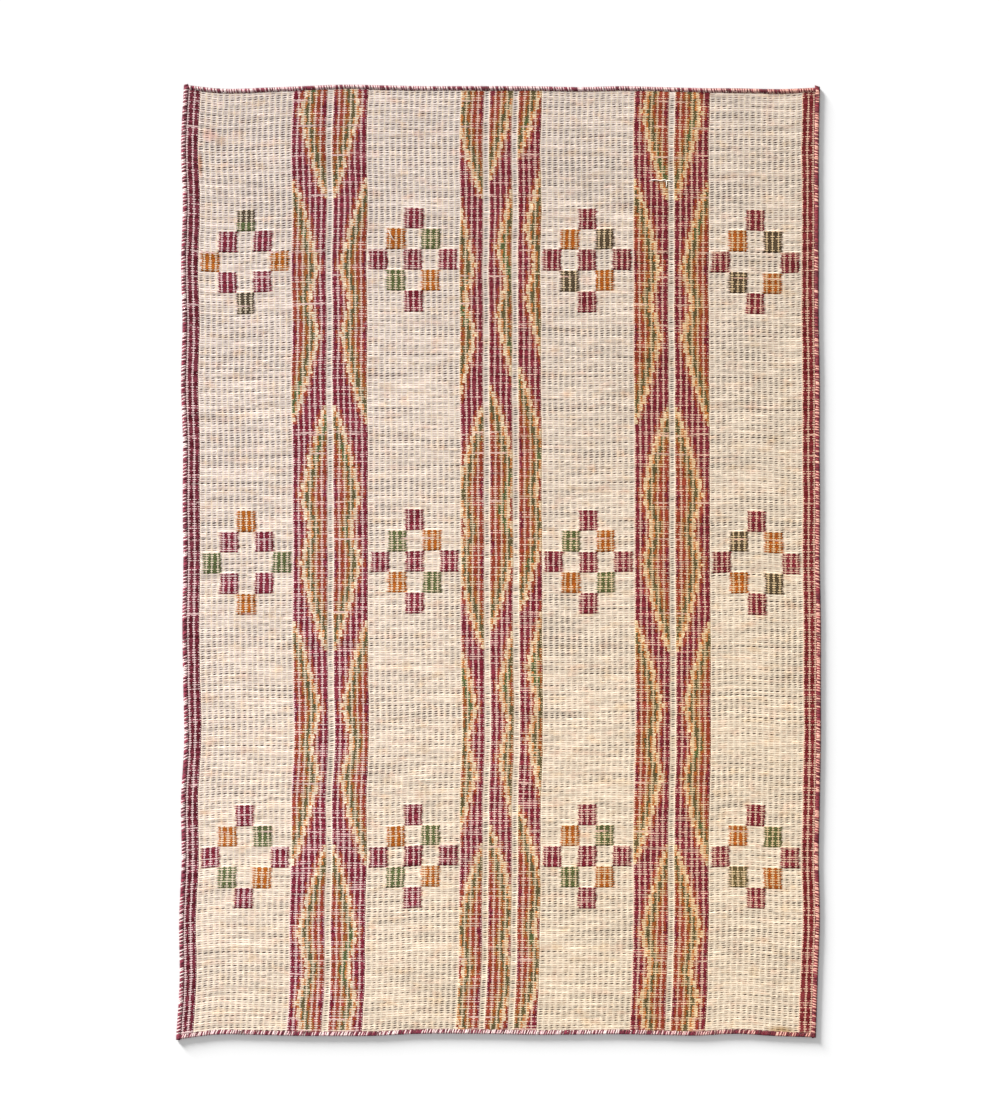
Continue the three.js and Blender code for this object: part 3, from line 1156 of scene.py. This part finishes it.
# %% The yarn's finish
yarn = Bench("whipping_yarn", roughness=0.8)
yarn_place = yarn.node("TexCoord").outputs["Object"]
across_twist = {"Vector": yarn_place, "Rotation": (0, 0, math.radians(35))}
twist_place = yarn.node("Mapping", across_twist).outputs[0]
twist_lines = {"Vector": twist_place, "Scale": 260.0, "Distortion": 2.0}
twist = yarn.node("TexWave", twist_lines).outputs["Fac"]
fuzz = yarn.noise(yarn_place, scale=900.0, detail=3.0)
turn_tone = yarn.number("turn_tone")
maroon_turn = yarn.blend(turn_tone, dyed(104, 16, 42), dyed(150, 40, 68))
pale_turn = yarn.blend(turn_tone, dyed(234, 188, 190), dyed(248, 224, 218))
turn_colour = yarn.blend(yarn.number("pale"), maroon_turn, pale_turn)
sunny_side = yarn.step(yarn.node("SeparateXYZ", {0: yarn_place}).outputs["X"], 0.2, 0.7)
turn_colour = yarn.stain(sunny_side, turn_colour, dyed(246, 206, 186))
# painted shade on the outer side and the inner end of each turn
turn_colour = yarn.tint(turn_colour, yarn.minus(1.0, yarn.number("painted_shade")))
relief = yarn.plus(yarn.times(twist, 0.6), yarn.times(fuzz, 0.5))
turn_colour = yarn.tint(turn_colour, yarn.step(relief, 0.1, 1.0, 0.78, 1.1))
yarn.finish(turn_colour, relief, strength=0.5, depth=0.0004)
yarn.surface.inputs["Sheen Weight"].default_value = 0.1
for edging in whippings.values():
    edging.data.materials.append(yarn.material)

# %% [markdown]
# ## Snagged threads
# In two places a pale thread has been pulled out of the cloth and lies on top of it. Each is a
# short thin tube along a few points, which are given by column and row.

# %% Lay the snagged threads
THREAD_RADIUS = 0.0008
THREADS = {
    "snagged_thread_1": [
        (80.6, 40.9),
        (81.6, 40.3),
        (82.7, 40.6),
        (83.6, 40.4),
        (83.7, 42.0),
        (83.6, 43.8),
    ],
    "snagged_thread_2": [(83.2, 40.8), (84.2, 40.6), (84.9, 41.4)],
    "snagged_thread_3": [(35.6, 62.6), (36.0, 64.6), (36.7, 67.6)],
}


def lay_thread(name, counts):
    """A tube on the cloth along points given by column and row, with its ends pushed into it."""
    columns, rows = np.array(counts).T
    places = lay_cloth(columns, rows, np.ones(len(counts)), np.zeros(len(counts)))
    curve = bpy.data.curves.new(name, "CURVE")
    curve.dimensions = "3D"
    curve.bevel_depth = THREAD_RADIUS
    curve.bevel_resolution = 2
    curve.use_fill_caps = True
    spline = curve.splines.new("BEZIER")
    spline.bezier_points.add(len(places) - 1)
    for point, place in zip(spline.bezier_points, places):
        point.co = (place[0], place[1], CREST + THREAD_RADIUS / 2)
        point.handle_left_type = point.handle_right_type = "AUTO"
    for end in (spline.bezier_points[0], spline.bezier_points[-1]):
        end.co.z = CREST - 2 * THREAD_RADIUS
    mesh = as_mesh(put_in_scene(name, curve))
    mesh.name = name
    mesh.shade_smooth()
    return put_in_scene(name, mesh)


pale = Bench("pale_thread", roughness=0.85)
pale_fuzz = pale.noise(pale.node("TexCoord").outputs["Object"], scale=700.0, detail=3.0)
thread_colour = pale.blend(pale_fuzz, dyed(240, 226, 214), dyed(255, 250, 244))
pale.finish(thread_colour, pale_fuzz, strength=0.4, depth=0.0003)
threads = [lay_thread(name, counts) for name, counts in THREADS.items()]
for thread in threads:
    thread.data.materials.clear()
    thread.data.materials.append(pale.material)

# %% [markdown]
# ## The floor, the light and the camera
# The rug lies on a plain white floor. A wide, low lamp at the head and the left gives the thin
# shadow at the right and the foot and shows the relief of the rows, and an even white sky fills
# the rest. The camera looks straight down.

# %% The floor
FLOOR_SIZE = 12.0
FLOOR_DROP = 0.0002
WHITE = (0.93, 0.93, 0.93, 1)

floor_bm = bmesh.new()
bmesh.ops.create_grid(floor_bm, x_segments=1, y_segments=1, size=FLOOR_SIZE / 2)
bmesh.ops.translate(floor_bm, vec=(0, 0, -FLOOR_DROP), verts=floor_bm.verts)
floor_mesh = bpy.data.meshes.new("floor")
floor_bm.to_mesh(floor_mesh)
floor_bm.free()
floor = put_in_scene("floor", floor_mesh)
white = Bench("white_floor", roughness=1.0)
white.surface.inputs["Base Color"].default_value = WHITE
white.surface.inputs["Specular IOR Level"].default_value = 0.0
floor_mesh.materials.append(white.material)

# %% The light
SUN_STRENGTH = 11.3
SUN_WIDTH = math.radians(17)
SUN_HEIGHT = math.radians(10)
SUN_FROM = math.radians(128.5)
SKY_STRENGTH = 0.50

sun = bpy.data.lights.new("lamp", "SUN")
sun.energy = SUN_STRENGTH
sun.angle = SUN_WIDTH
lamp = put_in_scene("lamp", sun)
lamp.rotation_euler = (math.pi / 2 - SUN_HEIGHT, 0, SUN_FROM + math.pi / 2)
sky = bpy.data.worlds.new("sky")
sky.use_nodes = True
sky.node_tree.nodes["Background"].inputs["Color"].default_value = (1, 1, 1, 1)
sky.node_tree.nodes["Background"].inputs["Strength"].default_value = SKY_STRENGTH
bpy.context.scene.world = sky
bpy.context.scene.view_settings.view_transform = "Standard"

# %% The camera
CAMERA_HEIGHT = 5.806
CAMERA_X = 0.0034
CAMERA_Y = 0.0047

lens = bpy.data.cameras.new("camera")
lens.lens = 85
lens.sensor_width = 36
camera = put_in_scene("camera", lens)
camera.location = (CAMERA_X, CAMERA_Y, CAMERA_HEIGHT)
bpy.context.scene.camera = camera

# %% [markdown]
# ## Tie the pieces to the imported rug
# Every piece rides on the rug's one body. The nine strips stand for the woven field, and each row
# of turns for its edging.

for name, strip in strips.items():
    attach(strip, "root")
    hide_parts("woven_field")
for node, edging in whippings.items():
    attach(edging, "root")
    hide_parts(node)
for thread in threads:
    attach(thread, "root")
